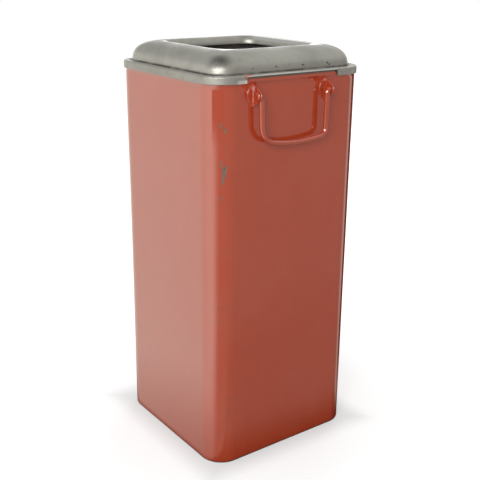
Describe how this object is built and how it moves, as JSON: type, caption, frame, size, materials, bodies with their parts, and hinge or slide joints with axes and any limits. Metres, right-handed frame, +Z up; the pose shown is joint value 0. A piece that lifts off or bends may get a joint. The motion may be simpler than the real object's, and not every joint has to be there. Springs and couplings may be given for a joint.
{
  "type": "ashtray bin",
  "caption": "Tall square painted steel ashtray bin with round corners, a loose pressed aluminium lid with an open mouth, drop handles and a lift-out liner.",
  "frame": {"origin": "centre of the base at floor level", "axes": "+Z up; the front face, with one handle, looks along -Y; the other handle is on the +Y face"},
  "size_m": [0.2862, 0.3222, 0.6462],
  "materials": {
    "red_paint": "aged gloss enamel, faded and chipped",
    "bare_aluminium": "dull worn pressed sheet",
    "galvanised_steel": "hot-dipped zinc, matt and stained"
  },
  "bodies": {
    "body": {"body_shell": "red_paint", "base_pan": "galvanised_steel", "lug_front_left": "red_paint", "lug_front_right": "red_paint", "lug_rear_left": "red_paint", "lug_rear_right": "red_paint"},
    "front_handle": {"handle_front": "red_paint"},
    "rear_handle": {"handle_rear": "red_paint"},
    "liner": {"liner_shell": "galvanised_steel", "liner_base": "galvanised_steel", "liner_rim_wire": "galvanised_steel", "liner_grip_left": "galvanised_steel", "liner_grip_right": "galvanised_steel", "liner_grip_rivets": "galvanised_steel"},
    "lid": {"lid_shell": "bare_aluminium"}
  },
  "joints": [
    {"name": "handle_front_swing", "type": "hinge", "parent": "body", "child": "front_handle", "pos_m": [-0.0085, -0.153, 0.587], "axis": [-1, 0, 0], "range_deg": [-6, 185]},
    {"name": "handle_rear_swing", "type": "hinge", "parent": "body", "child": "rear_handle", "pos_m": [0.0085, 0.153, 0.587], "axis": [1, 0, 0], "range_deg": [-6, 185]},
    {"name": "liner_lift", "type": "slide", "parent": "body", "child": "liner", "axis": [0, 0, 1], "range_m": [0, 0.62]},
    {"name": "lid_lift", "type": "slide", "parent": "liner", "child": "lid", "axis": [0, 0, 1], "range_m": [0, 0.15]}
  ]
}
